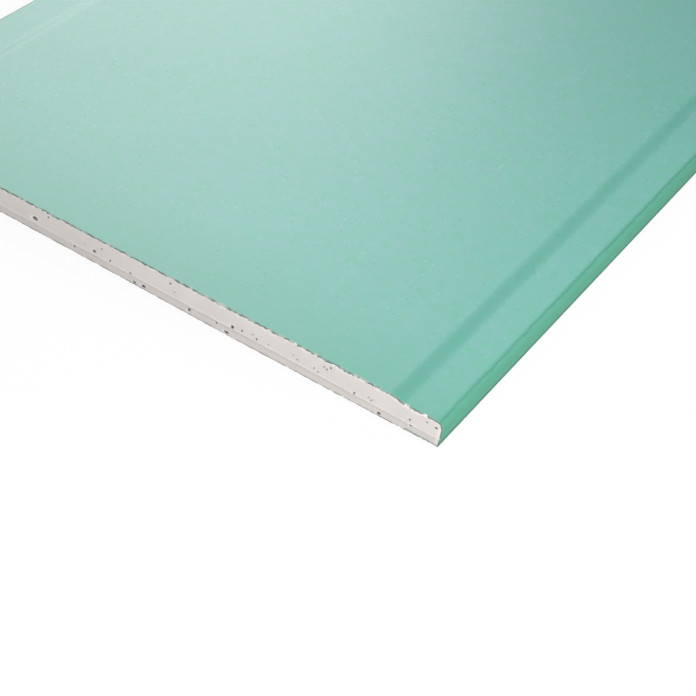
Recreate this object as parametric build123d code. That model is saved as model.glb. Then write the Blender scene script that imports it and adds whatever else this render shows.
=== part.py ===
from build123d import *
import os

# A gypsum plasterboard sheet: a foamed gypsum core cast between two papers.
# The green face paper covers the front, wraps round both long edges and laps onto the back.
# The grey back paper is glued over those laps. Both ends are trimmed by saw, from the face and from the back.
# +X runs along the sheet, +Y across it, +Z out of the face. The sheet lies on its back with z = 0 below it.

# The sheet as it is sold.
sheet_length = 2000.0
sheet_width = 600.0
sheet_thickness = 25.0

# The recess along both long edges of the face, which takes the joint tape and filler.
taper_width = 50.0
taper_floor_width = 34.0
taper_depth = 2.3

# The rounding between the recess floor and the upright side.
edge_radius = 6.5

# The papers.
paper_thickness = 0.4
lap_width = 30.0
back_paper_margin = 8.0

# The end trim: the lower saw stops at this height and cuts this much deeper than the upper one.
trim_height = 6.5
trim_depth = 0.6

half_length = sheet_length / 2
half_width = sheet_width / 2
side_top = sheet_thickness - taper_depth - edge_radius
floor_top = sheet_thickness - taper_depth


def face_side(inset):
    """Half of the outline of the face side, from the middle of the face to the foot of the side,
    taken the given distance inside the sheet's own outline."""
    middle = (0, sheet_thickness - inset)
    slope_top = (half_width - taper_width, sheet_thickness - inset)
    slope_foot = (half_width - taper_floor_width, floor_top - inset)
    round_start = (half_width - edge_radius, floor_top - inset)
    round_end = (half_width - inset, side_top)
    flat_part = Polyline(middle, slope_top, slope_foot, round_start)
    rounding = RadiusArc(round_start, round_end, edge_radius - inset)
    return flat_part, rounding, round_end


def section_sketch(edges):
    """The full section across the sheet, in the plane of Y and Z, from its half outline."""
    half = make_face(edges)
    return half + mirror(half, about=Plane.YZ)


def core_section():
    flat_part, rounding, round_end = face_side(paper_thickness)
    back = paper_thickness
    over_lap = back + paper_thickness
    inner_lap = half_width - lap_width
    foot = Polyline(
        round_end,
        (half_width - paper_thickness, over_lap),
        (inner_lap, over_lap),
        (inner_lap, back),
        (0, back),
        (0, sheet_thickness - paper_thickness),
    )
    return section_sketch([flat_part, rounding, foot])


def face_paper_section():
    outer_flat, outer_round, outer_end = face_side(0)
    inner_flat, inner_round, inner_end = face_side(paper_thickness)
    back = paper_thickness
    over_lap = back + paper_thickness
    inner_lap = half_width - lap_width
    middle = Line((0, sheet_thickness), (0, sheet_thickness - paper_thickness))
    foot = Polyline(
        outer_end,
        (half_width, back),
        (inner_lap, back),
        (inner_lap, over_lap),
        (half_width - paper_thickness, over_lap),
        inner_end,
    )
    return section_sketch([outer_flat, outer_round, foot, inner_round, inner_flat, middle])


def back_paper_section():
    reach = sheet_width - back_paper_margin - back_paper_margin
    return Rectangle(reach, paper_thickness, align=(Align.CENTER, Align.MIN))


def trimmed_length(section):
    """The section run along the sheet, with the lower saw's cut taken off both ends."""
    # The sketch plane's x is the sheet's Y, and its y is the sheet's Z.
    end_plane = Plane(origin=(-half_length, 0, 0), x_dir=(0, 1, 0), z_dir=(1, 0, 0))
    run = extrude(end_plane * section, sheet_length)
    cut = Box(trim_depth, sheet_width, trim_height, align=(Align.MIN, Align.CENTER, Align.MIN))
    near_cut = Pos(-half_length, 0, 0) * cut
    far_cut = Pos(half_length - trim_depth, 0, 0) * cut
    return run - near_cut - far_cut


os.makedirs("parts", exist_ok=True)
export_step(trimmed_length(core_section()), "parts/gypsum_core.step")
export_step(trimmed_length(face_paper_section()), "parts/face_paper.step")
export_step(trimmed_length(back_paper_section()), "parts/back_paper.step")
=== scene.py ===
import math

import bpy
import numpy as np
from mathutils import Matrix, Vector, noise


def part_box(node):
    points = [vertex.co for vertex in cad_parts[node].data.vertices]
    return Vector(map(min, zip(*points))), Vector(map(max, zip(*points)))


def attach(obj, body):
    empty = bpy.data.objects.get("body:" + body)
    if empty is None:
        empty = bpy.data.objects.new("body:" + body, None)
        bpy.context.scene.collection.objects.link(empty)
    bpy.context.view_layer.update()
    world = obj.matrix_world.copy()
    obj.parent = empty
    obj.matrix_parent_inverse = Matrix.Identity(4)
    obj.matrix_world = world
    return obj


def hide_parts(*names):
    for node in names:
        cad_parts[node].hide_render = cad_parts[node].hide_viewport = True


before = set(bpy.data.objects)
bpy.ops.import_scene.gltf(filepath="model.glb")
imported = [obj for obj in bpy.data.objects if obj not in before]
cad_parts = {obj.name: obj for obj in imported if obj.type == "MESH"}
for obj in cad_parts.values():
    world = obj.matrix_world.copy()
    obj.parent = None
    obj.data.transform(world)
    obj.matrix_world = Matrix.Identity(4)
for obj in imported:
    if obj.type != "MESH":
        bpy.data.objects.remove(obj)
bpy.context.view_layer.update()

# Face paper. A green paper of several plies of recycled fibre, sized against damp and 0.4 mm thick.
# On the line the wet gypsum is cast on it, and its edges are folded up round the core and onto the back.
# The end saws leave a dark frayed burr along both ends, with small tears where the paper lifted.
half_length, half_width, sheet_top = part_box("face_paper")[1]
back_half_width, paper_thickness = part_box("back_paper")[1].yz
taper_width = 0.050
taper_floor_width = 0.034
taper_blend = 0.0012
taper_depth = 0.0023
edge_radius = 0.0065
floor_top = sheet_top - taper_depth
side_top = floor_top - edge_radius
lap_width = 0.030
fold_sag = 0.0003
trim_height = 0.0065
trim_depth = 0.0006
foot_height = 0.0055
foot_places = np.array([0, 20, 45, 110, 190, 260, 330, 400, 600]) / 1000 - half_width
foot_reaches = np.array([0.8, 0.9, 1.2, 1.6, 2.0, 1.4, 0.7, 0.3, 0.3]) / 1000

face_step = 0.0008
round_steps = 12
upright_steps = 14
lap_steps = 10


def steps_in(inset, spacing):
    """Distances in from the upright side to the middle of the sheet: close together where the edge
    is round, then even, on the skin that lies the inset inside the sheet's own."""
    turn = np.linspace(0, math.pi / 2, round_steps)
    round_part = (edge_radius - inset) * (1 - np.cos(turn))
    flat_count = round((half_width - edge_radius) / spacing)
    flat_part = np.linspace(edge_radius, half_width, flat_count)[1:] - inset
    return np.concatenate((round_part, flat_part))


def face_height(from_side, inset):
    """Height of that skin above the floor, at distances in from its upright side."""
    radius = edge_radius - inset
    slope_foot = taper_floor_width - taper_blend
    slope_top = taper_width + taper_blend
    rise = np.clip((from_side + inset - slope_foot) / (slope_top - slope_foot), 0, 1)
    recess = taper_depth * (1 - rise + np.sin(2 * math.pi * rise) / (2 * math.pi))
    short_of_round = radius - np.clip(from_side, 0, radius)
    rounding = radius - np.sqrt(np.clip(radius ** 2 - short_of_round ** 2, 0, None))
    return sheet_top - inset - recess - rounding


def both_halves(across, up):
    """A section from one half of it: the half is given from the edge to the middle."""
    return np.concatenate((-across, across[-2::-1])), np.concatenate((up, up[-2::-1]))


def paper_section(inset):
    """The paper's section from lap to lap, round both sides and over the face. Past the edge of the
    back paper the lap hangs down towards the floor."""
    side = half_width - inset
    lap = np.linspace(half_width - lap_width, side, lap_steps)
    past_back_paper = np.clip((lap - back_half_width) / (side - back_half_width), 0, 1)
    lap_height = paper_thickness + inset - fold_sag * past_back_paper
    upright = np.linspace(lap_height[-1], side_top, upright_steps)[1:-1]
    face = steps_in(inset, face_step)
    across = np.concatenate((lap, np.full(len(upright), side), side - face))
    up = np.concatenate((lap_height, upright, face_height(face, inset)))
    return both_halves(across, up)


def lower_cut(across, up):
    """How far the lower saw's cut lies behind the upper one's plane. It runs out again towards the foot."""
    reach = np.interp(across, foot_places, foot_reaches)
    return trim_depth - (trim_depth + reach) * np.clip(1 - up / foot_height, 0, 1)


def wander(along, spacing, seed):
    """A random line between -1 and 1 that takes a new value each spacing along the way."""
    knots = np.arange(along.min(), along.max() + 2 * spacing, spacing)
    return np.interp(along, knots, np.random.default_rng(seed).uniform(-1, 1, len(knots)))


fine_fray_spacing, coarse_fray_spacing, nick_spacing = 0.0012, 0.004, 0.003
fine_fray_share, coarse_fray_share = 0.6, 0.4
nick_threshold = 0.55
tear_mean, tear_swing = 0.8, 0.4


def frayed_edge(along, reach, nick, tears, seed):
    """How far a sawn paper edge stands back from its mean line: fraying and nicks all along,
    and the larger tears, each given by its place, width and depth."""
    fine = fine_fray_share * wander(along, fine_fray_spacing, seed)
    coarse = coarse_fray_share * wander(along, coarse_fray_spacing, seed + 1)
    back = reach * (fine + coarse)
    back += nick * np.clip(wander(along, nick_spacing, seed + 2) - nick_threshold, 0, None)
    for place, width, depth in tears:
        share = np.clip(1 - np.abs(along - place) / (width / 2), 0, 1)
        back += depth * share * (tear_mean + tear_swing * wander(along, fine_fray_spacing, seed + 3))
    return back


paper_stations = np.array([0, 0.1, 0.4, 0.9, 1.5, 3, 7, 20, 60, 160, 360, 660]) / 1000
tear_fade = 0.004
line_count = 2 * len(paper_stations)


def ends_along(near_back, far_back):
    """Places along the sheet for each line of a section, so that both ends follow their frayed edges."""
    fade = np.exp(-paper_stations / tear_fade)
    near = -half_length + paper_stations + near_back[:, None] * fade
    far = half_length - paper_stations - far_back[:, None] * fade
    return np.concatenate((near, far[:, ::-1]), axis=1)


def by_station(near, far, profile):
    """Values that belong to the two ends and follow the profile in from each of them."""
    whole = np.zeros((len(near), line_count))
    whole[:, :len(profile)] = near[:, None] * profile
    whole[:, line_count - len(profile):] = far[:, None] * profile[::-1]
    return whole


def swept(along, across, up):
    """The grid of points of a section carried along the sheet."""
    return np.stack(np.broadcast_arrays(along, across[:, None], up[:, None]), axis=-1)


def new_object(name, data):
    """An object with this data, put in the scene."""
    made = bpy.data.objects.new(name, data)
    bpy.context.scene.collection.objects.link(made)
    return made


def closed_shell(name, outer, inner):
    """A closed mesh between two grids of points with the same rows and columns."""
    rows, columns = outer.shape[:2]
    count = rows * columns
    points = np.concatenate((outer.reshape(-1, 3), inner.reshape(-1, 3)))
    index = np.arange(count).reshape(rows, columns)
    skin = np.stack((index[:-1, :-1], index[:-1, 1:], index[1:, 1:], index[1:, :-1]), axis=-1).reshape(-1, 4)
    loop = np.concatenate((index[:-1, 0], index[-1, :-1], index[:0:-1, -1], index[0, :0:-1]))
    after = np.roll(loop, -1)
    rim = np.stack((loop, after, after + count, loop + count), axis=-1)
    quads = np.concatenate((skin, skin[:, ::-1] + count, rim))
    mesh = bpy.data.meshes.new(name)
    mesh.vertices.add(len(points))
    mesh.vertices.foreach_set("co", points.astype(np.float32).ravel())
    mesh.loops.add(quads.size)
    mesh.loops.foreach_set("vertex_index", quads.astype(np.int32).ravel())
    mesh.polygons.add(len(quads))
    mesh.polygons.foreach_set("loop_start", np.arange(0, quads.size, 4, dtype=np.int32))
    mesh.update(calc_edges=True)
    return new_object(name, mesh)


def point_attribute(piece, name, outer, inner):
    """Keeps one number for each point of a shell's two grids, for its material to read."""
    layer = piece.data.attributes.new(name, "FLOAT", "POINT")
    layer.data.foreach_set("value", np.concatenate((outer, inner)).astype(np.float32).ravel())


def smooth_faces(piece, sharp_angle):
    """Shades the mesh smooth, but for edges sharper than the angle in degrees."""
    piece.data.polygons.foreach_set("use_smooth", np.ones(len(piece.data.polygons), bool))
    piece.data.set_sharp_from_angle(angle=math.radians(sharp_angle))


# Tears in millimetres: place from the near side, width and depth.
near_tears = np.array([
    (17, 6, 0.4), (36, 4, 0.1), (60, 5, 0.4), (76, 4, 0.4), (102, 5, 0.3), (117, 4, 0.4), (143, 5, 0.4),
    (186, 4, 0.4), (231, 6, 0.4), (284, 4, 0.3), (336, 7, 0.4), (381, 4, 0.4),
]) / 1000
far_tears = np.array([(60, 8, 1.2), (240, 5, 0.9), (455, 10, 1.4), (520, 4, 0.8)]) / 1000
# How far the paper's mean edge stands back from the saw's plane, at places from the near side, and how far
# its torn plies hang down over the core there.
edge_places = np.array([-10, 4, 20, 60, 150, 300, 420, 600]) / 1000
near_edge = np.array([-0.25, -0.2, 0.9, 0.5, 0.5, 0.0, -0.6, 0.0]) / 1000
far_edge = np.array([-0.2, -0.1, 0.3, 0.2, 0.1, 0.2, 0.3, 0.0]) / 1000
ply_hang = np.array([0.6, 0.6, 1.1, 1.6, 1.9, 1.5, 1.5, 1.2]) / 1000
hang_mean, hang_swing, hang_patch = 0.8, 0.45, 0.002
ply_reach = 0.0005
fray_reach = 0.0006
nick_depth = 0.0008
corner_run = 0.009
corner_fray = 0.35
burr_profile = np.array([1.0, 0.85, 0.4, 0.1])
stain_mean, stain_swing, stain_patch = 0.7, 0.8, 0.0025
stain_profile = np.array([1.0, 0.3])
skin_stain, corner_skin_stain = 0.25, 0.6
corner_stain, lap_stain = 0.9, 0.4
dust_mean, dust_swing, dust_patch = 0.8, 0.5, 0.002
dust_kept = 0.3
dust_profile = np.array([1.0, 0.3, 0.12, 0.05])

skin_across, skin_up = paper_section(0.0)
under_across, under_up = paper_section(paper_thickness)
# How far along the section each line lies, counted so that on the face it is the distance from the near side.
run = np.concatenate(([0], np.cumsum(np.hypot(np.diff(skin_across), np.diff(skin_up)))))
round_end = lap_steps + upright_steps - 2 + round_steps - 1
run += edge_radius - run[round_end]
in_corner = np.minimum(run, run[0] + run[-1] - run) < corner_run
fray_share = np.where(in_corner, corner_fray, 1.0)
lower_back = np.where(skin_up < trim_height, lower_cut(skin_across, skin_up), 0)
near_fray = fray_share * frayed_edge(run, fray_reach, nick_depth, near_tears, seed=11)
far_fray = fray_share * frayed_edge(run, fray_reach, nick_depth, far_tears, seed=23)
near_back = np.interp(run, edge_places, near_edge) + near_fray + lower_back
far_back = np.interp(run, edge_places, far_edge) + far_fray + lower_back
skin_along = ends_along(near_back, far_back)


def burr(seed):
    """How far the torn plies hang down along a sawn end."""
    mean_hang = np.interp(run, edge_places, ply_hang)
    return mean_hang * (hang_mean + hang_swing * wander(run, hang_patch, seed))


inward = np.stack((under_across - skin_across, under_up - skin_up), axis=-1)
inward /= np.linalg.norm(inward, axis=-1, keepdims=True)
plies_down = by_station(burr(seed=71), burr(seed=73), burr_profile)
paper_skin = swept(skin_along, skin_across, skin_up)
ply_out = np.where(in_corner, 0, ply_reach)
under_along = ends_along(near_back - ply_out, far_back - ply_out)
paper_under = swept(under_along, under_across, under_up).copy()
paper_under[:, :, 1:] += plies_down[:, :, None] * inward[:, None, :]
face_paper = closed_shell("face_paper_sheet", paper_skin, paper_under)


def end_marks(seed):
    """How dark and how dusty each line of the section is at a sawn end, as shares, in patches along it."""
    stained = np.clip(stain_mean + stain_swing * wander(run, stain_patch, seed), 0, 1)
    stained = np.where(in_corner, np.where(skin_up > paper_thickness, corner_stain, lap_stain), stained)
    dusty = np.clip(dust_mean + dust_swing * wander(run, dust_patch, seed + 4), 0, 1)
    return stained, dusty * (1 - (1 - dust_kept) * stained)


near_stain, near_dust = end_marks(seed=31)
far_stain, far_dust = end_marks(seed=33)
stain = by_station(near_stain, far_stain, stain_profile)
dust = by_station(near_dust, far_dust, dust_profile)
skin_share = np.where(in_corner, corner_skin_stain, skin_stain)
point_attribute(face_paper, "frayed", skin_share[:, None] * stain, stain)
point_attribute(face_paper, "dusted", dust, dust)
smooth_faces(face_paper, sharp_angle=35)


def linear(hex_colour):
    """A colour written as sRGB hex, as the linear values that shaders take."""
    channels = [int(hex_colour[i:i + 2], 16) / 255 for i in (1, 3, 5)]
    return tuple(c / 12.92 if c <= 0.04045 else ((c + 0.055) / 1.055) ** 2.4 for c in channels) + (1.0,)


def add_node(tree, kind, settings=(), links=()):
    """Adds a node, sets its properties or unlinked inputs, and links its other inputs to sockets."""
    node = tree.nodes.new(kind)
    for name, value in dict(settings).items():
        if isinstance(name, str) and name in node.bl_rna.properties:
            setattr(node, name, value)
        else:
            node.inputs[name].default_value = value
    for name, socket in dict(links).items():
        tree.links.new(socket, node.inputs[name])
    return node


def new_material(name):
    """A material with an empty node tree, and that tree."""
    material = bpy.data.materials.new(name)
    material.use_nodes = True
    material.node_tree.nodes.clear()
    return material, material.node_tree


# Green moisture board paper, calendered on the line. The eye sees a faintly cloudy and mottled blue-green
# with short pale and dark fibres, a few flecks of recycled stock, some handling marks and a soft sheen. A
# deeper green on the near slope and side is painted shade, and the side is rougher, without its sheen. A
# darker band along the fold and the darkening towards the foot are painted shade too. The sawn ends show
# dark plies and a little gypsum dust. Real fibres and nap are too fine to show, so they are drawn coarser.
green_light = linear("#64ad9a")
green_deep = linear("#5ca592")
green_blue = linear("#6aa7a1")
fibre_pale = linear("#7fc0af")
fibre_shade = linear("#488a7a")
fleck_dark = linear("#4d8073")
# Painted shade: the next four colours darken the near slope, the near side, the fold and the foot.
slope_shade_green = linear("#589d85")
side_shade_green = linear("#52a286")
fold_shade_green = linear("#479078")
foot_shade = linear("#4b6253")
end_shade = linear("#5ba18e")
torn_ply = linear("#6a6d67")
gypsum_dust = linear("#c6c9c1")
cloud_size = 0.11
mottle_size = 0.014
mottle_range = {"From Min": 0.33, "From Max": 0.69}
fibre_spacing = 0.0075
fibre_length = 0.0050
fibre_width = 0.0018
faintest_fibre = 0.15
pale_fibre_share = 0.5
fibre_cluster = 0.035
cluster_range = {"From Min": 0.28, "From Max": 0.56}
fleck_spacing = 0.016
fleck_radius = 0.0007
fleck_core_share = 0.4
fleck_strength = 0.8
bare_cell_share = 0.86
end_shade_width, end_shade_strength = 0.090, 0.6
slope_inset = 0.0425
slope_shade_width, slope_shade_strength = 0.008, 0.28
side_range = {"From Min": half_width - 1.1 * edge_radius, "From Max": half_width}
side_shade_strength = 0.9
fold_shade_inset = 0.0040
fold_shade_width, fold_shade_strength = 0.0016, 0.8
fold_shade_waver = 0.004
foot_shade_height, foot_shade_strength = 0.0058, 0.9
torn_range = {"From Min": 0.45, "From Max": 0.75}
face_roughness, side_roughness = 0.42, 0.80
nap_size = 0.0022
nap_bump = {"Strength": 0.6, "Distance": 0.00015}

green_paper, tree = new_material("green_moisture_board_paper")
place = add_node(tree, "ShaderNodeTexCoord").outputs["Object"]
axes = add_node(tree, "ShaderNodeSeparateXYZ", links={0: place})
from_middle = add_node(tree, "ShaderNodeMath", {"operation": "ABSOLUTE"}, {0: axes.outputs["X"]})
from_centre = add_node(tree, "ShaderNodeMath", {"operation": "ABSOLUTE"}, {0: axes.outputs["Y"]})
to_near_side = add_node(tree, "ShaderNodeMath", {"operation": "MULTIPLY", 1: -1.0}, {0: axes.outputs["Y"]})


def share_near(value, middle, reach, most):
    """A share that is the most where the value is the middle, and falls to nothing within the reach."""
    past = add_node(tree, "ShaderNodeMath", {"operation": "SUBTRACT", 1: middle}, {0: value})
    apart = add_node(tree, "ShaderNodeMath", {"operation": "ABSOLUTE"}, {0: past.outputs[0]})
    share = add_node(
        tree,
        "ShaderNodeMapRange",
        {"From Max": reach, "To Min": most, "To Max": 0.0},
        {"Value": apart.outputs[0]},
    )
    return share.outputs[0]


# The ground: clouds, mottle and fibres. Each fibre lies in a cell of its own, which gives its heading, its
# strength and whether it is pale or dark.
cloud = add_node(tree, "ShaderNodeTexNoise", {"Scale": 1 / cloud_size, "Detail": 3.0}, {"Vector": place})
tone = add_node(
    tree, "ShaderNodeMix", {"data_type": "RGBA", 6: green_light, 7: green_deep}, {0: cloud.outputs["Fac"]}
)
mottle = add_node(
    tree,
    "ShaderNodeTexNoise",
    {"Scale": 1 / mottle_size, "Detail": 4.0, "Roughness": 0.65},
    {"Vector": place},
)
mottle_share = add_node(tree, "ShaderNodeMapRange", mottle_range, {"Value": mottle.outputs["Fac"]})
mottled = add_node(
    tree,
    "ShaderNodeMix",
    {"data_type": "RGBA", 7: green_blue},
    {0: mottle_share.outputs[0], 6: tone.outputs[2]},
)
fibre_cells = add_node(
    tree, "ShaderNodeTexVoronoi", {"voronoi_dimensions": "2D", "Scale": 1 / fibre_spacing}, {"Vector": place}
)
fibre_kind = add_node(tree, "ShaderNodeSeparateColor", links={"Color": fibre_cells.outputs["Color"]})
from_fibre = add_node(
    tree, "ShaderNodeVectorMath", {"operation": "SUBTRACT"}, {0: place, 1: fibre_cells.outputs["Position"]}
)
heading = add_node(
    tree, "ShaderNodeMath", {"operation": "MULTIPLY", 1: 2 * math.pi}, {0: fibre_kind.outputs["Red"]}
)
turned = add_node(
    tree,
    "ShaderNodeVectorRotate",
    {"rotation_type": "Z_AXIS"},
    {"Vector": from_fibre.outputs[0], "Angle": heading.outputs[0]},
)
fibre_axes = add_node(tree, "ShaderNodeSeparateXYZ", links={0: turned.outputs[0]})
fibre_strength = add_node(
    tree, "ShaderNodeMapRange", {"From Min": faintest_fibre}, {"Value": fibre_kind.outputs["Green"]}
)
clusters = add_node(
    tree, "ShaderNodeTexNoise", {"Scale": 1 / fibre_cluster, "Detail": 2.0}, {"Vector": place}
)
in_cluster = add_node(tree, "ShaderNodeMapRange", cluster_range, {"Value": clusters.outputs["Fac"]})
on_flat = add_node(
    tree,
    "ShaderNodeMapRange",
    {"From Min": half_width - edge_radius / 2, "From Max": half_width - edge_radius},
    {"Value": from_centre.outputs[0]},
)
fibre_share = share_near(fibre_axes.outputs["X"], 0.0, fibre_length / 2, 1.0)
for factor in (
    share_near(fibre_axes.outputs["Y"], 0.0, fibre_width / 2, 1.0),
    fibre_strength.outputs[0],
    in_cluster.outputs[0],
    on_flat.outputs[0],
):
    product = add_node(tree, "ShaderNodeMath", {"operation": "MULTIPLY"}, {0: fibre_share, 1: factor})
    fibre_share = product.outputs[0]
is_pale = add_node(
    tree,
    "ShaderNodeMath",
    {"operation": "GREATER_THAN", 1: 1 - pale_fibre_share},
    {0: fibre_kind.outputs["Blue"]},
)
fibre_colour = add_node(
    tree, "ShaderNodeMix", {"data_type": "RGBA", 6: fibre_shade, 7: fibre_pale}, {0: is_pale.outputs[0]}
)
fibred = add_node(
    tree,
    "ShaderNodeMix",
    {"data_type": "RGBA"},
    {0: fibre_share, 6: mottled.outputs[2], 7: fibre_colour.outputs[2]},
)

# What lies over the ground, each as a share and a colour, from the lowest up. First the flecks.
fleck_cells = add_node(tree, "ShaderNodeTexVoronoi", {"Scale": 1 / fleck_spacing}, {"Vector": place})
fleck_kind = add_node(tree, "ShaderNodeSeparateColor", links={"Color": fleck_cells.outputs["Color"]})
has_fleck = add_node(
    tree, "ShaderNodeMath", {"operation": "GREATER_THAN", 1: bare_cell_share}, {0: fleck_kind.outputs["Red"]}
)
near_fleck = add_node(
    tree,
    "ShaderNodeMapRange",
    {
        "From Min": fleck_core_share * fleck_radius / fleck_spacing,
        "From Max": fleck_radius / fleck_spacing,
        "To Min": fleck_strength,
        "To Max": 0.0,
    },
    {"Value": fleck_cells.outputs["Distance"]},
)
fleck_share = add_node(
    tree, "ShaderNodeMath", {"operation": "MULTIPLY"}, {0: has_fleck.outputs[0], 1: near_fleck.outputs[0]}
)
paper_layers = [(fleck_share.outputs[0], fleck_dark)]

# Then the handling marks, in millimetres: place from the near end and from the near side, length, width,
# colour and strength.
pale_mark, dark_mark = linear("#acd6c4"), linear("#3f6f62")
handling_marks = [
    (338, 131, 18, 1.0, pale_mark, 0.6),
    (428, 84, 1.5, 1.3, pale_mark, 0.6),
    (103, 430, 1.8, 1.3, pale_mark, 0.5),
    (28, 139, 1.5, 1.3, pale_mark, 0.5),
    (430, 82, 1.5, 1.3, dark_mark, 0.6),
    (538, 68, 1.8, 1.5, dark_mark, 0.7),
    (276, 38, 1.8, 1.5, dark_mark, 0.7),
    (260, 63, 1.8, 1.5, dark_mark, 0.7),
    (232, 20, 1.8, 1.5, dark_mark, 0.7),
    (118, 173, 1.5, 1.3, dark_mark, 0.5),
    (75, 399, 1.8, 1.5, dark_mark, 0.7),
    (47, 290, 1.5, 1.3, dark_mark, 0.6),
    (102, 303, 1.5, 1.3, dark_mark, 0.5),
    (112, 478, 1.8, 1.5, dark_mark, 0.5),
    (40, 153, 8, 1.0, dark_mark, 0.25),
]
mark_depth = 0.020
mark_core_share = 0.3
for from_end, from_side, length, width, colour, strength in handling_marks:
    middle = (from_end / 1000 - half_length, from_side / 1000 - half_width, sheet_top)
    spread = (length / 2000, width / 2000, mark_depth)
    over_mark = add_node(
        tree,
        "ShaderNodeMapping",
        {"vector_type": "TEXTURE", "Location": middle, "Scale": spread},
        {"Vector": place},
    )
    from_mark = add_node(tree, "ShaderNodeVectorMath", {"operation": "LENGTH"}, {0: over_mark.outputs[0]})
    mark_share = add_node(
        tree,
        "ShaderNodeMapRange",
        {"From Min": mark_core_share, "To Min": strength, "To Max": 0.0},
        {"Value": from_mark.outputs["Value"]},
    )
    paper_layers.append((mark_share.outputs[0], colour))

# Last the painted shade on the near slope and side, the darkening towards the ends, the painted shade
# along the fold and towards the foot, the dust and the torn plies.
# Painted shade along the near slope, which faces away from the far soft box.
slope_shade_share = share_near(
    to_near_side.outputs[0], half_width - slope_inset, slope_shade_width, slope_shade_strength
)
near_end = add_node(
    tree,
    "ShaderNodeMapRange",
    {"From Min": half_length - end_shade_width, "From Max": half_length, "To Max": end_shade_strength},
    {"Value": from_middle.outputs[0]},
)
# Painted shade: a deeper green on the near side.
side_shade_share = add_node(
    tree,
    "ShaderNodeMapRange",
    {**side_range, "To Max": side_shade_strength},
    {"Value": to_near_side.outputs[0]},
)
# Painted shade: a darker band along the fold, wavering with the mottle.
waver = add_node(
    tree,
    "ShaderNodeMath",
    {"operation": "MULTIPLY_ADD", 1: fold_shade_waver, 2: -fold_shade_waver / 2},
    {0: mottle.outputs["Fac"]},
)
wavering = add_node(
    tree, "ShaderNodeMath", {"operation": "ADD"}, {0: to_near_side.outputs[0], 1: waver.outputs[0]}
)
# Painted shade: darker towards the floor.
near_foot = add_node(
    tree,
    "ShaderNodeMapRange",
    {"interpolation_type": "SMOOTHSTEP", "From Max": foot_shade_height, "To Min": foot_shade_strength, "To Max": 0.0},
    {"Value": axes.outputs["Z"]},
)
dusted = add_node(tree, "ShaderNodeAttribute", {"attribute_name": "dusted"})
frayed = add_node(tree, "ShaderNodeAttribute", {"attribute_name": "frayed"})
torn_share = add_node(tree, "ShaderNodeMapRange", torn_range, {"Value": frayed.outputs["Fac"]})
paper_layers += [
    (slope_shade_share, slope_shade_green),
    (near_end.outputs[0], end_shade),
    (side_shade_share.outputs[0], side_shade_green),
    (share_near(wavering.outputs[0], half_width - fold_shade_inset, fold_shade_width, fold_shade_strength), fold_shade_green),
    (near_foot.outputs[0], foot_shade),
    (dusted.outputs["Fac"], gypsum_dust),
    (torn_share.outputs[0], torn_ply),
]
paper_colour = fibred.outputs[2]
for share, colour in paper_layers:
    layer = add_node(tree, "ShaderNodeMix", {"data_type": "RGBA", 7: colour}, {0: share, 6: paper_colour})
    paper_colour = layer.outputs[2]

gloss = add_node(
    tree,
    "ShaderNodeMapRange",
    {**side_range, "To Min": face_roughness, "To Max": side_roughness},
    {"Value": to_near_side.outputs[0]},
)
nap = add_node(tree, "ShaderNodeTexNoise", {"Scale": 1 / nap_size, "Detail": 2.0}, {"Vector": place})
grain = add_node(tree, "ShaderNodeBump", nap_bump, {"Height": nap.outputs["Fac"]})
shader = add_node(
    tree,
    "ShaderNodeBsdfPrincipled",
    {"IOR": 1.5},
    {"Base Color": paper_colour, "Roughness": gloss.outputs[0], "Normal": grain.outputs[0]},
)
add_node(tree, "ShaderNodeOutputMaterial", links={"Surface": shader.outputs[0]})
face_paper.data.materials.append(green_paper)
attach(face_paper, "root")
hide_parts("face_paper")

# Torn bits of the face paper. Flakes of its plies that the saw left hanging along the frayed ends.
# They are set out along both sawn edges by a node tree, which the gypsum crumbs use as well.
flake_spacing = 0.0022
flake_size = (0.0008, 0.0005, 0.00015)
flake_jitter = 0.0003
smallest_bit_share = 0.35


def new_geometry_tree(name, inputs):
    """A geometry node tree with these named inputs, and the sockets that give them."""
    tree = bpy.data.node_groups.new(name, "GeometryNodeTree")
    tree.interface.new_socket("Geometry", in_out="INPUT", socket_type="NodeSocketGeometry")
    for label, kind in inputs.items():
        tree.interface.new_socket(label, in_out="INPUT", socket_type="NodeSocket" + kind)
    tree.interface.new_socket("Geometry", in_out="OUTPUT", socket_type="NodeSocketGeometry")
    return tree, add_node(tree, "NodeGroupInput").outputs


def made_by(tree, piece, values):
    """Runs the tree on the piece with these values for its inputs, and leaves the result as a plain mesh."""
    maker = piece.modifiers.new(tree.name, "NODES")
    maker.node_group = tree
    sockets = {item.name: item.identifier for item in tree.interface.items_tree if item.in_out == "INPUT"}
    for label, value in values.items():
        maker[sockets[label]] = value
    depsgraph = bpy.context.evaluated_depsgraph_get()
    result = bpy.data.meshes.new_from_object(
        piece.evaluated_get(depsgraph), preserve_all_data_layers=True, depsgraph=depsgraph
    )
    piece.modifiers.remove(maker)
    result.name = piece.name
    piece.data = result


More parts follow.
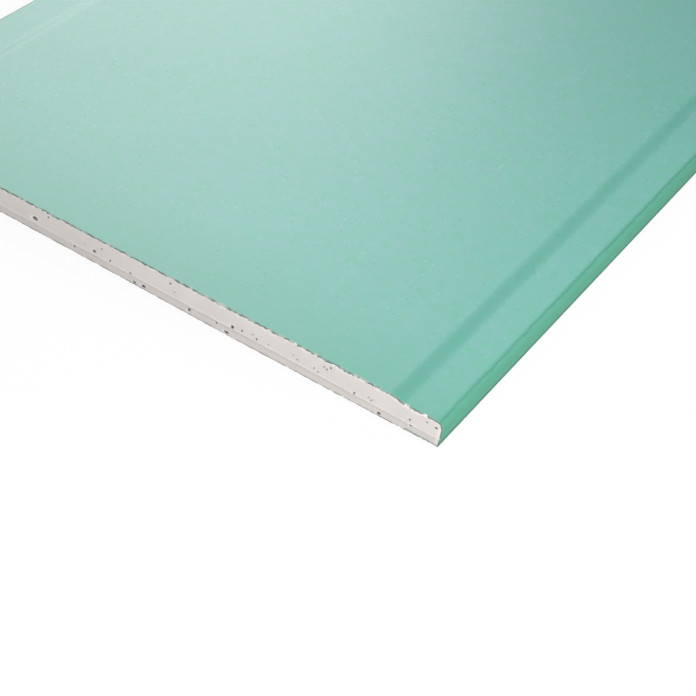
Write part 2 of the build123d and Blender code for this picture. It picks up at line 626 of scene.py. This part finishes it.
edge_bits, sizes = new_geometry_tree(
    "bits_along_an_edge",
    {"Spacing": "Float", "Size": "Vector", "Jitter": "Float", "Seed": "Int", "Material": "Material"},
)
edge_curve = add_node(edge_bits, "GeometryNodeMeshToCurve", links={"Mesh": sizes["Geometry"]})
spots = add_node(
    edge_bits,
    "GeometryNodeCurveToPoints",
    {"mode": "LENGTH"},
    {"Curve": edge_curve.outputs[0], "Length": sizes["Spacing"]},
)
least = add_node(edge_bits, "ShaderNodeMath", {"operation": "MULTIPLY", 1: -1.0}, {0: sizes["Jitter"]})
astray = add_node(
    edge_bits,
    "FunctionNodeRandomValue",
    {"data_type": "FLOAT_VECTOR"},
    {0: least.outputs[0], 1: sizes["Jitter"], "Seed": sizes["Seed"]},
)
loose_spots = add_node(
    edge_bits, "GeometryNodeSetPosition", links={"Geometry": spots.outputs[0], "Offset": astray.outputs[0]}
)
bit_turn = add_node(
    edge_bits,
    "FunctionNodeRandomValue",
    {"data_type": "FLOAT_VECTOR", 1: (2 * math.pi, 2 * math.pi, 2 * math.pi)},
    {"Seed": sizes["Seed"]},
)
grown = add_node(
    edge_bits,
    "FunctionNodeRandomValue",
    {"data_type": "FLOAT", 2: smallest_bit_share, 3: 1.0},
    {"Seed": sizes["Seed"]},
)
bit_size = add_node(
    edge_bits, "ShaderNodeVectorMath", {"operation": "SCALE"}, {0: sizes["Size"], "Scale": grown.outputs[1]}
)
bit = add_node(edge_bits, "GeometryNodeMeshIcoSphere", {"Radius": 0.5, "Subdivisions": 1})
placed = add_node(
    edge_bits,
    "GeometryNodeInstanceOnPoints",
    links={
        "Points": loose_spots.outputs[0],
        "Instance": bit.outputs["Mesh"],
        "Rotation": bit_turn.outputs[0],
        "Scale": bit_size.outputs[0],
    },
)
bit_shade = add_node(edge_bits, "FunctionNodeRandomValue", {"data_type": "FLOAT", 2: 0.0, 3: 1.0, "Seed": 4})
shaded_bits = add_node(
    edge_bits,
    "GeometryNodeStoreNamedAttribute",
    {"data_type": "FLOAT", "domain": "INSTANCE", "Name": "shade"},
    {"Geometry": placed.outputs[0], "Value": bit_shade.outputs[1]},
)
real_bits = add_node(edge_bits, "GeometryNodeRealizeInstances", links={"Geometry": shaded_bits.outputs[0]})
finished_bits = add_node(
    edge_bits,
    "GeometryNodeSetMaterial",
    links={"Geometry": real_bits.outputs[0], "Material": sizes["Material"]},
)
add_node(edge_bits, "NodeGroupOutput", links={"Geometry": finished_bits.outputs[0]})


def lines_object(name, lines):
    """An object with one open chain of edges for each line of points."""
    mesh = bpy.data.meshes.new(name)
    starts = np.cumsum([0] + [len(line) for line in lines])
    edges = [(i, i + 1) for first, line in zip(starts, lines) for i in range(first, first + len(line) - 1)]
    mesh.from_pydata(np.concatenate(lines).tolist(), edges, [])
    return new_object(name, mesh)


# Torn plies of grey recycled stock under the green one. The eye sees grey specks, some dark and some pale.
ply_dark = linear("#575a55")
ply_pale = linear("#b5b9b2")
torn_plies, tree = new_material("torn_grey_paper_plies")
shade = add_node(tree, "ShaderNodeAttribute", {"attribute_name": "shade"})
tone = add_node(
    tree, "ShaderNodeMix", {"data_type": "RGBA", 6: ply_dark, 7: ply_pale}, {0: shade.outputs["Fac"]}
)
shader = add_node(
    tree, "ShaderNodeBsdfPrincipled", {"Roughness": 0.9, "IOR": 1.5}, {"Base Color": tone.outputs[2]}
)
add_node(tree, "ShaderNodeOutputMaterial", links={"Surface": shader.outputs[0]})

above_trim = skin_up > trim_height
flakes = lines_object("face_paper_flakes", [paper_under[above_trim, 0], paper_under[above_trim, -1]])
made_by(
    edge_bits,
    flakes,
    {"Spacing": flake_spacing, "Size": flake_size, "Jitter": flake_jitter, "Seed": 3, "Material": torn_plies},
)
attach(flakes, "root")

# Gypsum core. Foamed plaster of paris, cast between the papers and set hard, white and full of small bubbles.
# Both ends are trimmed by two saws, one from each face. The lower one cuts a little deeper, so a step
# runs across the end, and the saws open bubbles and chip the corner under the paper.
core_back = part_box("gypsum_core")[0].z
kerf_depth = 0.0010
kerf_height = 0.0006
kerf_drop = 0.0010
lip_reach = 0.0004
lip_height = 0.0013
saw_grain = 0.0012
saw_drift, saw_drift_height = 0.020, 0.006
saw_roughness = 0.00006
chip_height = 0.0026
chip_slope = 0.45
chip_white_and_highlight = 0.0028
chip_fine, chip_coarse = 0.002, 0.009
chip_fine_swing, chip_coarse_swing = 0.35, 0.25
white_patch_mean, white_patch_swing = 0.85, 0.5
# Painted highlight along the ridge just above the step.
ridge_highlight, ridge_height, ridge_above = 0.5, 0.0008, 0.8
# Share of the painted light and shade below the step.
under_step_shading_share = 0.7
core_step = 0.0010
void_step = 0.0003
lower_rows = 14
upper_rows = 28
top_rows = 9
top_zone = 0.0026
step_edge = 0.0001

# Large bubbles that the saw opened at the near end, in millimetres: place from the near side, height, length
# and height across.
near_voids = np.array([
    (391, 11, 5.6, 3.0), (378, 19, 1.8, 1.6), (350, 4, 1.8, 1.4), (330, 10, 3.4, 2.4), (323, 16, 1.6, 1.2),
    (314, 9, 2.0, 1.7), (293, 7, 3.0, 2.2), (288, 1.5, 3.6, 1.4), (279, 2, 4.4, 1.6), (255, 18, 2.4, 1.8),
    (234, 3, 3.0, 1.7), (208, 4, 1.7, 1.1), (193, 8.2, 3.0, 3.4), (184, 9.5, 1.8, 2.2), (197, 1.5, 5.0, 1.4),
    (170, 9, 2.0, 1.8), (116, 11, 1.3, 1.2), (112, 9, 1.4, 1.2), (105, 16, 1.6, 1.6), (102, 19, 1.6, 1.6),
    (78, 7.6, 1.8, 1.7), (63, 9, 1.4, 1.2), (54, 1.6, 3.6, 1.6), (28, 10.5, 2.0, 1.8), (26.5, 5, 3.0, 1.2),
    (14, 16.5, 1.4, 1.2), (5.5, 15.5, 2.4, 2.0),
]) / 1000
void_deep = 1.3
void_shade_power = 0.4
void_rim, void_rim_width = 1.3, 0.35
void_margin = 0.65
far_void_scales, far_void_heights = (0.7, 1.2), (0.002, 0.021)
far_rng = np.random.default_rng(5)
far_voids = near_voids * far_rng.uniform(*far_void_scales, near_voids.shape)
far_voids[:, 0] = near_voids[:, 0]
far_voids[:, 1] = far_rng.uniform(*far_void_heights, len(near_voids))

core_side = half_width - paper_thickness
even = core_side - steps_in(paper_thickness, core_step)
beside_voids = np.concatenate([
    np.arange(place - void_margin * long, place + void_margin * long, void_step) - half_width
    for place, _, long, _ in near_voids
])
beside_voids = beside_voids[np.abs(beside_voids) < core_side - edge_radius]
core_across = np.unique(np.round(np.concatenate((-even, even, beside_voids)), 6))
core_from_side = core_side - np.abs(core_across)
core_top = face_height(core_from_side, paper_thickness)
core_bottom = np.where(core_from_side + paper_thickness < lap_width, core_back + paper_thickness, core_back)


def rows_between(low, high, count):
    """Even steps of height from one line to another, at each place across."""
    return low[:, None] + np.linspace(0, 1, count) * (high - low)[:, None]


step_line = np.full_like(core_top, trim_height)
under_top = core_top - top_zone
core_up = np.concatenate(
    (
        rows_between(core_bottom, step_line - step_edge, lower_rows),
        rows_between(step_line + step_edge, under_top, upper_rows),
        rows_between(under_top, core_top, top_rows + 1)[:, 1:],
    ),
    axis=1,
)
core_grid = np.broadcast_to(core_across[:, None], core_up.shape)
below_step = trim_height - core_up
under_paper = np.minimum(core_top[:, None] - core_up, core_from_side[:, None])


def sawn_depth(voids, seed):
    """How far each point of a sawn end lies behind the saw's plane, how deep in a bubble it is, which the
    material paints dark as painted shade, and how white it is: the broken corner under the paper, partly
    broken gypsum and partly painted highlight, and painted highlights on the step's ridge and on the lit
    side of each bubble's rim."""
    kerf = kerf_depth * np.exp(-(((below_step - kerf_drop) / kerf_height) ** 2))
    lower = lower_cut(core_grid, core_up) + kerf
    upper = -lip_reach * np.exp(np.minimum(below_step, 0) / lip_height)
    depth = np.where(below_step > 0, lower, upper)
    rough = [
        noise.noise(Vector((a / saw_grain, u / saw_grain, seed)))
        + noise.noise(Vector((a / saw_drift, u / saw_drift_height, seed)))
        for a, u in zip(core_grid.ravel(), core_up.ravel())
    ]
    depth = depth + saw_roughness * np.array(rough).reshape(depth.shape)
    fine = chip_fine_swing * wander(core_across, chip_fine, seed + 1)
    coarse = chip_coarse_swing * wander(core_across, chip_coarse, seed + 2)
    ragged = 1 + fine + coarse
    depth += chip_slope * np.clip(chip_height * ragged[:, None] - (core_top[:, None] - core_up), 0, None)
    # The broken corner under the paper is white, brightened as a painted highlight; the step's ridge and the
    # lit side of each bubble's rim are painted highlights.
    white_patches = np.clip(white_patch_mean + white_patch_swing * wander(core_across, chip_fine, seed + 3), 0, 1)
    white = white_patches[:, None] * np.exp(-((under_paper / (chip_white_and_highlight * ragged[:, None])) ** 4))
    ridge = ridge_highlight * white_patches[:, None] * np.exp(-((below_step / ridge_height + ridge_above) ** 2))
    white = np.maximum(white, ridge)
    hollow = np.zeros_like(depth)
    for place, height, long, tall in voids:
        sideways = (core_grid + half_width - place) / (long / 2)
        upwards = (core_up - height) / (tall / 2)
        away = np.hypot(sideways, upwards)
        bowl = np.sqrt(np.clip(1 - away ** 2, 0, 1))
        depth += void_deep * tall * bowl
        hollow = np.maximum(hollow, bowl ** void_shade_power)
        lit_side = np.clip((1 + (sideways - upwards) / np.maximum(away, 1e-6)) / 2, 0, 1)
        white = np.maximum(white, lit_side * np.exp(-((away - void_rim) / void_rim_width) ** 2))
    return depth, hollow, white


def sawn_end(at, inward, depth):
    """The points of one sawn end, each its depth behind the saw's plane."""
    return np.stack((at + inward * depth, core_grid, core_up), axis=-1)


near_depth, near_hollow, near_white_and_highlight = sawn_depth(near_voids, seed=41)
far_depth, far_hollow, far_white_and_highlight = sawn_depth(far_voids, seed=53)
core = closed_shell(
    "gypsum_core_slab",
    sawn_end(-half_length, 1, near_depth),
    sawn_end(half_length, -1, far_depth),
)
point_attribute(core, "hollow", near_hollow, far_hollow)
point_attribute(core, "broken_and_highlight", near_white_and_highlight, far_white_and_highlight)
# Below the step the material paints a tone of its own, as painted light and shade.
under_step = np.where(below_step > 0, under_step_shading_share, 0.0)
point_attribute(core, "under_step_shading", under_step, under_step)

# Sawn foamed gypsum. The eye sees a dull chalky white, a little warm and grey, with saw grain. Below the
# step the band has a tone of its own, set for how it is lit under the step's lip: painted light and shade.
# The open bubbles are painted dark, as painted shade. The broken corner under the paper is near white,
# partly broken gypsum and partly painted highlight, and the step's ridge and the lit side of each bubble's
# rim carry painted highlights. The real grain is too fine to show, so it is drawn coarser.
gypsum_white = linear("#e3e0dd")
gypsum_grey = linear("#dcd4cf")
gypsum_under_step_shading = linear("#e0dad6")
bubble_painted_shade = linear("#14110f")
broken_white_and_highlight = linear("#fbf9f6")
gypsum_cloud = 0.03
gypsum_grain = 0.0009
gypsum_bump = {"Strength": 0.3, "Distance": 0.00015}

gypsum, tree = new_material("sawn_foamed_gypsum")
place = add_node(tree, "ShaderNodeTexCoord").outputs["Object"]
cloud = add_node(tree, "ShaderNodeTexNoise", {"Scale": 1 / gypsum_cloud, "Detail": 4.0}, {"Vector": place})
tone = add_node(
    tree, "ShaderNodeMix", {"data_type": "RGBA", 6: gypsum_white, 7: gypsum_grey}, {0: cloud.outputs["Fac"]}
)
gypsum_colour = tone.outputs[2]
# Painted light and shade below the step, broken white with painted highlights, and painted shade in the
# bubbles.
for mark, colour in (("under_step_shading", gypsum_under_step_shading), ("broken_and_highlight", broken_white_and_highlight), ("hollow", bubble_painted_shade)):
    share = add_node(tree, "ShaderNodeAttribute", {"attribute_name": mark}).outputs["Fac"]
    layer = add_node(tree, "ShaderNodeMix", {"data_type": "RGBA", 7: colour}, {0: share, 6: gypsum_colour})
    gypsum_colour = layer.outputs[2]
grains = add_node(tree, "ShaderNodeTexNoise", {"Scale": 1 / gypsum_grain, "Detail": 3.0}, {"Vector": place})
grain = add_node(tree, "ShaderNodeBump", gypsum_bump, {"Height": grains.outputs["Fac"]})
shader = add_node(
    tree,
    "ShaderNodeBsdfPrincipled",
    {"Roughness": 0.9, "IOR": 1.52},
    {"Base Color": gypsum_colour, "Normal": grain.outputs[0]},
)
add_node(tree, "ShaderNodeOutputMaterial", links={"Surface": shader.outputs[0]})

# The small bubbles: points strewn over both sawn ends, each a bowl pressed into the mesh. Most real ones are
# finer and closer together, so these are drawn coarser.
bubbles_per_area = 1600.0
bubble_smallest, bubble_largest = 0.0004, 0.0008
end_facing = 0.8
tree, sizes = new_geometry_tree(
    "open_bubbles",
    {
        "Bubbles per Square Metre": "Float",
        "Smallest Radius": "Float",
        "Largest Radius": "Float",
        "Seed": "Int",
        "Material": "Material",
    },
)
facing = add_node(
    tree, "ShaderNodeSeparateXYZ", links={0: add_node(tree, "GeometryNodeInputNormal").outputs[0]}
)
facing_along = add_node(tree, "ShaderNodeMath", {"operation": "ABSOLUTE"}, {0: facing.outputs["X"]})
on_end = add_node(
    tree, "FunctionNodeCompare", {"operation": "GREATER_THAN", 1: end_facing}, {0: facing_along.outputs[0]}
)
strewn = add_node(
    tree,
    "GeometryNodeDistributePointsOnFaces",
    links={
        "Mesh": sizes["Geometry"],
        "Selection": on_end.outputs[0],
        "Density": sizes["Bubbles per Square Metre"],
        "Seed": sizes["Seed"],
    },
)
radius = add_node(
    tree,
    "FunctionNodeRandomValue",
    {"data_type": "FLOAT"},
    {2: sizes["Smallest Radius"], 3: sizes["Largest Radius"], "Seed": sizes["Seed"]},
)
here = add_node(tree, "GeometryNodeInputPosition").outputs[0]
nearest = add_node(
    tree, "GeometryNodeSampleNearest", links={"Geometry": strewn.outputs["Points"], "Sample Position": here}
)
centre = add_node(
    tree,
    "GeometryNodeSampleIndex",
    {"data_type": "FLOAT_VECTOR"},
    {"Geometry": strewn.outputs["Points"], "Value": here, "Index": nearest.outputs[0]},
)
reach = add_node(
    tree,
    "GeometryNodeSampleIndex",
    {"data_type": "FLOAT"},
    {"Geometry": strewn.outputs["Points"], "Value": radius.outputs[1], "Index": nearest.outputs[0]},
)
away = add_node(tree, "ShaderNodeVectorMath", {"operation": "DISTANCE"}, {0: here, 1: centre.outputs[0]})
away_share = add_node(
    tree, "ShaderNodeMath", {"operation": "DIVIDE"}, {0: away.outputs["Value"], 1: reach.outputs[0]}
)
squared = add_node(tree, "ShaderNodeMath", {"operation": "POWER", 1: 2.0}, {0: away_share.outputs[0]})
inside = add_node(
    tree, "ShaderNodeMath", {"operation": "SUBTRACT", "use_clamp": True, 0: 1.0}, {1: squared.outputs[0]}
)
bowl = add_node(tree, "ShaderNodeMath", {"operation": "SQRT"}, {0: inside.outputs[0]})
depth = add_node(tree, "ShaderNodeMath", {"operation": "MULTIPLY"}, {0: bowl.outputs[0], 1: reach.outputs[0]})
place_along = add_node(tree, "ShaderNodeSeparateXYZ", links={0: here})
end_sign = add_node(tree, "ShaderNodeMath", {"operation": "SIGN"}, {0: place_along.outputs["X"]})
inward_depth = add_node(
    tree, "ShaderNodeMath", {"operation": "MULTIPLY"}, {0: depth.outputs[0], 1: end_sign.outputs[0]}
)
pressed_in = add_node(
    tree, "ShaderNodeVectorMath", {"operation": "SCALE", 0: (-1, 0, 0)}, {"Scale": inward_depth.outputs[0]}
)
# Each bubble's depth is kept as hollow, which the material paints dark as painted shade.
already = add_node(tree, "GeometryNodeInputNamedAttribute", {"data_type": "FLOAT", "Name": "hollow"})
deepest = add_node(
    tree, "ShaderNodeMath", {"operation": "MAXIMUM"}, {0: already.outputs[0], 1: bowl.outputs[0]}
)
noted = add_node(
    tree,
    "GeometryNodeStoreNamedAttribute",
    {"data_type": "FLOAT", "domain": "POINT", "Name": "hollow"},
    {"Geometry": sizes["Geometry"], "Selection": on_end.outputs[0], "Value": deepest.outputs[0]},
)
opened = add_node(
    tree,
    "GeometryNodeSetPosition",
    links={"Geometry": noted.outputs[0], "Selection": on_end.outputs[0], "Offset": pressed_in.outputs[0]},
)
real_core = add_node(tree, "GeometryNodeRealizeInstances", links={"Geometry": opened.outputs[0]})
finished_core = add_node(
    tree, "GeometryNodeSetMaterial", links={"Geometry": real_core.outputs[0], "Material": sizes["Material"]}
)
add_node(tree, "NodeGroupOutput", links={"Geometry": finished_core.outputs[0]})
made_by(
    tree,
    core,
    {
        "Bubbles per Square Metre": bubbles_per_area,
        "Smallest Radius": bubble_smallest,
        "Largest Radius": bubble_largest,
        "Seed": 8,
        "Material": gypsum,
    },
)
smooth_faces(core, sharp_angle=40)
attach(core, "root")
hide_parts("gypsum_core")

# Gypsum crumbs. Bits of the core that broke off under the saws and stuck along the step's lip and under
# the paper.
crumb_spacing = 0.0035
crumb_size = (0.0009, 0.0009, 0.0006)
crumb_jitter = 0.0005
crumb_rise = 0.3 * lip_height
lip_line = np.full_like(core_across, trim_height + crumb_rise)
top_line = core_top - chip_height / 2


def across_end(at, up):
    """A line of points across the sheet at one place along it."""
    return np.stack((np.full_like(core_across, at), core_across, up), axis=-1)


crumbs = lines_object(
    "gypsum_crumbs",
    [
        across_end(-half_length - lip_reach / 2, lip_line),
        across_end(half_length + lip_reach / 2, lip_line),
        across_end(-half_length + chip_slope * chip_height / 2, top_line),
        across_end(half_length - chip_slope * chip_height / 2, top_line),
    ],
)
made_by(
    edge_bits,
    crumbs,
    {"Spacing": crumb_spacing, "Size": crumb_size, "Jitter": crumb_jitter, "Seed": 6, "Material": gypsum},
)
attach(crumbs, "root")

# Back paper. A plain grey-brown paper of mixed recycled fibre, glued over the laps of the face paper.
# The lower saw tears it more than it cuts it, so a thin ragged lip stands out along both ends.
back_step = 0.0010
lip_overhang = 0.0002
back_fray_reach, back_nick_depth = 0.0005, 0.0012
cut_mean, cut_swing, cut_patch = 0.85, 0.7, 0.004
cut_upper_share = 0.8
cut_profile = np.array([1.0, 0.9, 0.5, 0.15])
lip_profile = np.array([1.0, 1.0, 1.0, 1.0, 0.9, 0.6])
back_across = np.linspace(-back_half_width, back_half_width, round(2 * back_half_width / back_step))
lip = np.interp(back_across, foot_places, foot_reaches) + lip_overhang
back_along = ends_along(
    frayed_edge(back_across, back_fray_reach, back_nick_depth, [], seed=61) - lip,
    frayed_edge(back_across, back_fray_reach, back_nick_depth, [], seed=67) - lip,
)
back_paper = closed_shell(
    "back_paper_sheet",
    swept(back_along, back_across, np.full(len(back_across), paper_thickness)),
    swept(back_along, back_across, np.zeros(len(back_across))),
)
everywhere = np.ones(len(back_across))
lip_dust = by_station(everywhere, everywhere, lip_profile)
cut_stain = np.clip(cut_mean + cut_swing * wander(back_across, cut_patch, seed=63), 0, 1)
cut_edge = by_station(cut_stain, cut_stain, cut_profile)
point_attribute(back_paper, "dusted", lip_dust, lip_dust)
point_attribute(back_paper, "frayed", cut_upper_share * cut_edge, cut_edge)
smooth_faces(back_paper, sharp_angle=35)

# Grey back paper of mixed waste, uncoated. The eye sees a dull grey-brown with darker fibres lying along the
# sheet, and a paler lip at the ends, dusted with gypsum, with a dark torn rim. Real fibres are too fine to
# show, so they are drawn coarser.
back_light = linear("#b3aa9d")
back_deep = linear("#a39a8d")
back_fibre = linear("#857b6f")
back_dusted = linear("#dbd5d0")
back_torn = linear("#4e4842")
back_fibre_length, back_fibre_width = 0.007, 0.0011
back_fibre_range = {"From Min": 0.5, "From Max": 0.8, "To Max": 0.6}
back_bump = {"Strength": 0.3, "Distance": 0.0001}

back_stock, tree = new_material("grey_recycled_back_paper")
place = add_node(tree, "ShaderNodeTexCoord").outputs["Object"]
cloud = add_node(tree, "ShaderNodeTexNoise", {"Scale": 1 / cloud_size, "Detail": 4.0}, {"Vector": place})
tone = add_node(
    tree, "ShaderNodeMix", {"data_type": "RGBA", 6: back_light, 7: back_deep}, {0: cloud.outputs["Fac"]}
)
lay = add_node(
    tree,
    "ShaderNodeMapping",
    {"Scale": (1 / back_fibre_length, 1 / back_fibre_width, 1 / back_fibre_width)},
    {"Vector": place},
)
fibres = add_node(
    tree, "ShaderNodeTexNoise", {"Scale": 1.0, "Detail": 3.0, "Distortion": 1.0}, {"Vector": lay.outputs[0]}
)
back_fibre_share = add_node(tree, "ShaderNodeMapRange", back_fibre_range, {"Value": fibres.outputs["Fac"]})
dusted = add_node(tree, "ShaderNodeAttribute", {"attribute_name": "dusted"})
frayed = add_node(tree, "ShaderNodeAttribute", {"attribute_name": "frayed"})
back_colour = tone.outputs[2]
for share, colour in (
    (back_fibre_share.outputs[0], back_fibre),
    (dusted.outputs["Fac"], back_dusted),
    (frayed.outputs["Fac"], back_torn),
):
    layer = add_node(tree, "ShaderNodeMix", {"data_type": "RGBA", 7: colour}, {0: share, 6: back_colour})
    back_colour = layer.outputs[2]
grain = add_node(tree, "ShaderNodeBump", back_bump, {"Height": fibres.outputs["Fac"]})
shader = add_node(
    tree,
    "ShaderNodeBsdfPrincipled",
    {"Roughness": 0.85, "IOR": 1.5},
    {"Base Color": back_colour, "Normal": grain.outputs[0]},
)
add_node(tree, "ShaderNodeOutputMaterial", links={"Surface": shader.outputs[0]})
back_paper.data.materials.append(back_stock)
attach(back_paper, "root")
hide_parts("back_paper")

# Studio. A white floor that the sheet lies on, soft light all round, a large soft box behind the far edge
# whose sheen pales the face towards it, and two small ones, one above the near corner and one in front of
# the near end. The camera looks down along the sheet from its near end, turned a little.
floor_size = 60.0
floor_drop = 0.0002
floor_mesh = bpy.data.meshes.new("studio_floor")
corner = floor_size / 2
floor_corners = [(x * corner, y * corner, -floor_drop) for x, y in ((-1, -1), (1, -1), (1, 1), (-1, 1))]
floor_mesh.from_pydata(floor_corners, [], [(0, 1, 2, 3)])
floor = new_object("studio_floor", floor_mesh)

# White studio floor. The eye sees an even, nearly pure white with a faint shadow beside the sheet: for the
# camera and in the sheen most of it glows, and all other light falls on a matte white.
floor_white = linear("#f4f4f4")
floor_glow_share = 0.90
white_floor, tree = new_material("white_studio_floor")
ray = add_node(tree, "ShaderNodeLightPath")
seen = ray.outputs["Is Camera Ray"]
for kind in ("Is Glossy Ray", "Is Transmission Ray"):
    either = add_node(tree, "ShaderNodeMath", {"operation": "MAXIMUM"}, {0: seen, 1: ray.outputs[kind]})
    seen = either.outputs[0]
seen_share = add_node(tree, "ShaderNodeMath", {"operation": "MULTIPLY", 1: floor_glow_share}, {0: seen})
matte = add_node(tree, "ShaderNodeBsdfDiffuse", {"Color": floor_white})
glow = add_node(tree, "ShaderNodeEmission", {"Color": (1.0, 1.0, 1.0, 1.0), "Strength": 1.0})
surface = add_node(
    tree, "ShaderNodeMixShader", links={0: seen_share.outputs[0], 1: matte.outputs[0], 2: glow.outputs[0]}
)
add_node(tree, "ShaderNodeOutputMaterial", links={"Surface": surface.outputs[0]})
floor_mesh.materials.append(white_floor)

room_light = 0.30
world = bpy.data.worlds.new("soft_white_room")
world.use_nodes = True
world.node_tree.nodes.clear()
sky = add_node(
    world.node_tree, "ShaderNodeBackground", {"Color": (1.0, 1.0, 1.0, 1.0), "Strength": room_light}
)
add_node(world.node_tree, "ShaderNodeOutputWorld", links={"Surface": sky.outputs[0]})
bpy.context.scene.world = world


def soft_box(name, aim, azimuth, height, distance, width, tall, brightness):
    """A soft box aimed at a place on the sheet, from that direction and distance, with the brightness
    that its front shows."""
    turn, rise = math.radians(azimuth), math.radians(height)
    direction = Vector((math.cos(turn) * math.cos(rise), math.sin(turn) * math.cos(rise), math.sin(rise)))
    lamp = bpy.data.lights.new(name, "AREA")
    lamp.shape = "RECTANGLE"
    lamp.size = width
    lamp.size_y = tall
    lamp.energy = brightness * math.pi * width * tall
    holder = new_object(name, lamp)
    holder.location = aim + direction * distance
    holder.rotation_euler = direction.to_track_quat("Z", "Y").to_euler()


near_part = Vector((-0.75, 0, 0))
near_corner = Vector((-0.95, -0.2, 0))
near_end_middle = Vector((-0.95, 0.04, 0))
soft_box(
    "far_soft_box", near_part,
    azimuth=37, height=26, distance=4.15, width=2.3, tall=2.8, brightness=5.8,
)
soft_box(
    "overhead_soft_box", near_corner,
    azimuth=-82, height=55, distance=1.15, width=0.5, tall=0.5, brightness=12.0,
)
soft_box(
    "front_soft_box", near_end_middle,
    azimuth=-154, height=18, distance=1.2, width=0.5, tall=0.5, brightness=5.7,
)

camera_place = Vector((-2.0737, -0.6757, 0.9924))
camera_heading = math.radians(23.51)
camera_dip = math.radians(38.95)
camera_roll = math.radians(12.55)
camera_lens = 101.8
ahead_level = Vector((math.cos(camera_heading), math.sin(camera_heading), 0))
right_level = Vector((math.sin(camera_heading), -math.cos(camera_heading), 0))
ahead = ahead_level * math.cos(camera_dip) - Vector((0, 0, math.sin(camera_dip)))
up_level = ahead_level * math.sin(camera_dip) + Vector((0, 0, math.cos(camera_dip)))
right = right_level * math.cos(camera_roll) + up_level * math.sin(camera_roll)
up = up_level * math.cos(camera_roll) - right_level * math.sin(camera_roll)
lens = bpy.data.cameras.new("camera")
lens.lens = camera_lens
lens.clip_end = 100.0
camera = new_object("camera", lens)
camera.matrix_world = Matrix.Translation(camera_place) @ Matrix((right, up, -ahead)).transposed().to_4x4()
bpy.context.scene.camera = camera
bpy.context.scene.view_settings.view_transform = "Standard"
